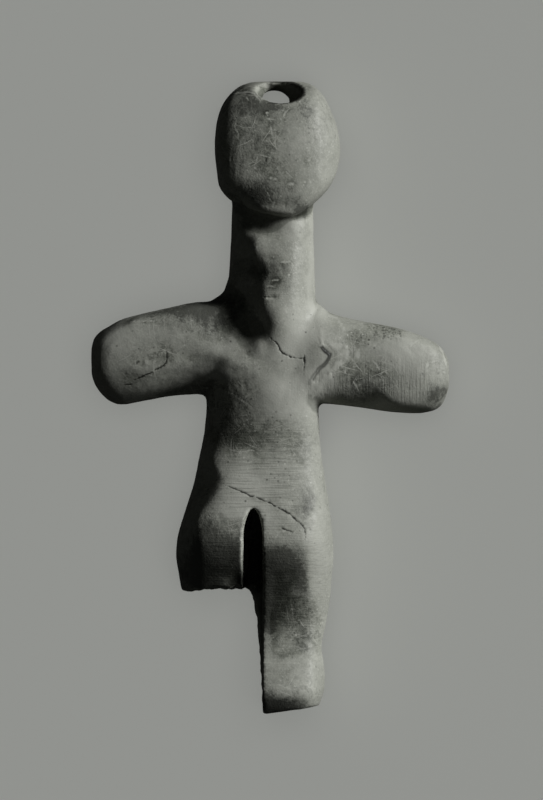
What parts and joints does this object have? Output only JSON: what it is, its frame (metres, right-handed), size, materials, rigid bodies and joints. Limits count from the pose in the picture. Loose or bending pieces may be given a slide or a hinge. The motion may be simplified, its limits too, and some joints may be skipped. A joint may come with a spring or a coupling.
{
  "type": "steatite idol",
  "caption": "Small cross-shaped pendant figure of carved soft stone, with a blank oval head, long neck, stub arms held out and bent legs, one broken off; a cord hole runs through the head.",
  "frame": {"origin": "under the middle of the figure, on the flat of its back", "axes": "+Y runs from the foot to the crown, +Z comes out of the chest, and +X is across the arms, to the viewer's right when the figure is looked down on with its head away from the viewer"},
  "size_m": [0.051, 0.0901, 0.0137],
  "materials": {
    "steatite": "rubbed and worn smooth, low polish, with fine scratches and a darker patina"
  },
  "bodies": {
    "root": {"idol": "steatite"}
  },
  "joints": []
}
